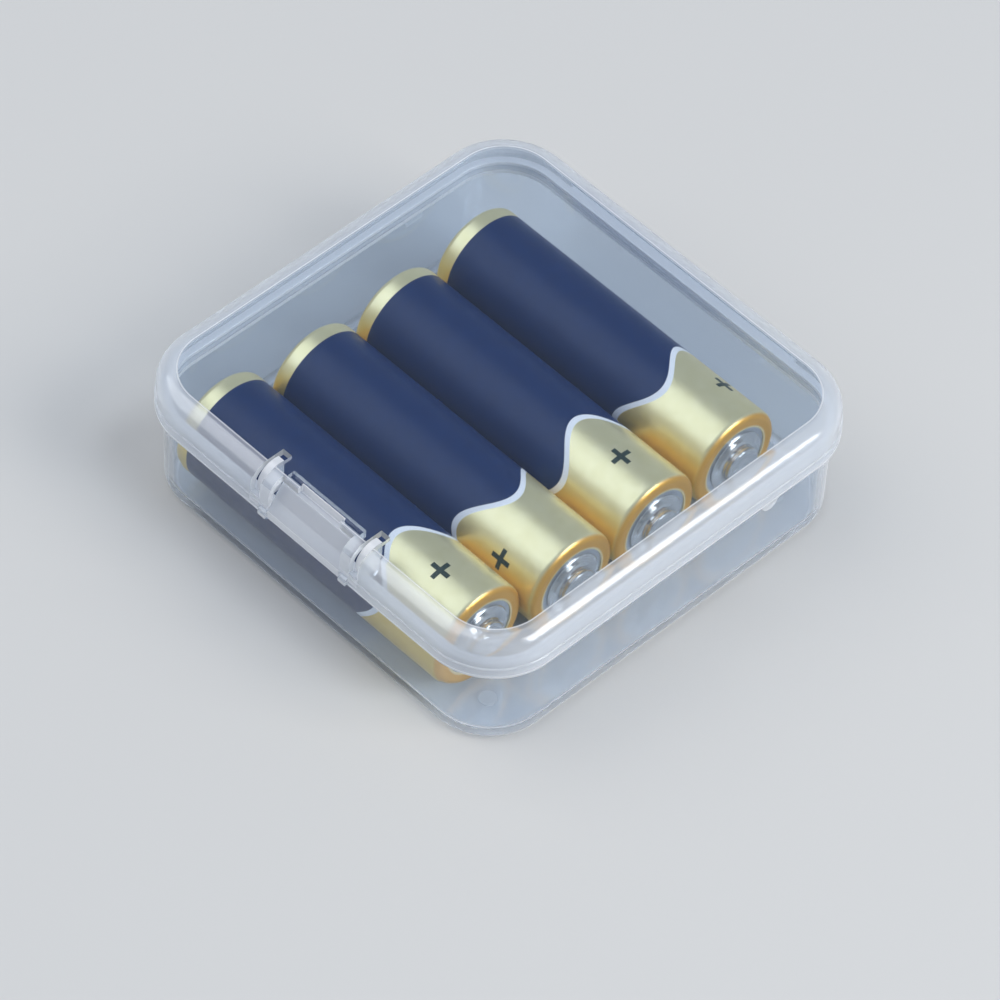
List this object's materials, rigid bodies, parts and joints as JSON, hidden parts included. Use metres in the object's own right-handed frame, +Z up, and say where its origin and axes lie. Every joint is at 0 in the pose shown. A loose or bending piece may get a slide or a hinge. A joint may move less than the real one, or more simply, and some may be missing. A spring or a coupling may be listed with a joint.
{
  "type": "battery storage case",
  "caption": "Clear square snap-shut plastic case with a hinged lid, holding cylindrical cells side by side.",
  "frame": {"origin": "middle of the tray's flat underside, half way between the outer faces of the lid", "axes": "+Z up, +X towards the cells' positive ends, -Y towards the hinge, +Y towards the opening edge"},
  "size_m": [0.068, 0.0683, 0.0199],
  "materials": {
    "clear_polypropylene": "clear moulded polypropylene, slightly milky at the edges",
    "printed_sleeve": "printed film sleeve, navy blue with gold ends",
    "can_steel": "nickel plated steel",
    "cap_nickel": "bright nickel plate",
    "seal_nylon": "natural nylon",
    "cover_nickel": "bright nickel plate",
    "cell_mix": "pressed powder and gel, dull black"
  },
  "bodies": {
    "tray": {"base_tray": "clear_polypropylene"},
    "lid": {"lid": "clear_polypropylene"},
    "cell_1": {"cell_1_sleeve": "printed_sleeve", "cell_1_can": "can_steel", "cell_1_cap": "cap_nickel", "cell_1_seal": "seal_nylon", "cell_1_cover": "cover_nickel", "cell_1_core": "cell_mix"},
    "cell_2": {"cell_2_sleeve": "printed_sleeve", "cell_2_can": "can_steel", "cell_2_cap": "cap_nickel", "cell_2_seal": "seal_nylon", "cell_2_cover": "cover_nickel", "cell_2_core": "cell_mix"},
    "cell_3": {"cell_3_sleeve": "printed_sleeve", "cell_3_can": "can_steel", "cell_3_cap": "cap_nickel", "cell_3_seal": "seal_nylon", "cell_3_cover": "cover_nickel", "cell_3_core": "cell_mix"},
    "cell_4": {"cell_4_sleeve": "printed_sleeve", "cell_4_can": "can_steel", "cell_4_cap": "cap_nickel", "cell_4_seal": "seal_nylon", "cell_4_cover": "cover_nickel", "cell_4_core": "cell_mix"}
  },
  "joints": [
    {"name": "lid_hinge", "type": "hinge", "parent": "tray", "child": "lid", "pos_m": [0, -0.0335, 0.01395], "axis": [1, 0, 0], "range_deg": [0, 180]},
    {"name": "cell_1_slide", "type": "slide", "parent": "tray", "child": "cell_1", "axis": [1, 0, 0], "range_m": [-0.0002, 0.0042]},
    {"name": "cell_2_slide", "type": "slide", "parent": "tray", "child": "cell_2", "axis": [1, 0, 0], "range_m": [-0.0065, 0.0061]},
    {"name": "cell_3_slide", "type": "slide", "parent": "tray", "child": "cell_3", "axis": [1, 0, 0], "range_m": [-0.0065, 0.0061]},
    {"name": "cell_4_slide", "type": "slide", "parent": "tray", "child": "cell_4", "axis": [1, 0, 0], "range_m": [-0.0054, 0.0068]}
  ]
}
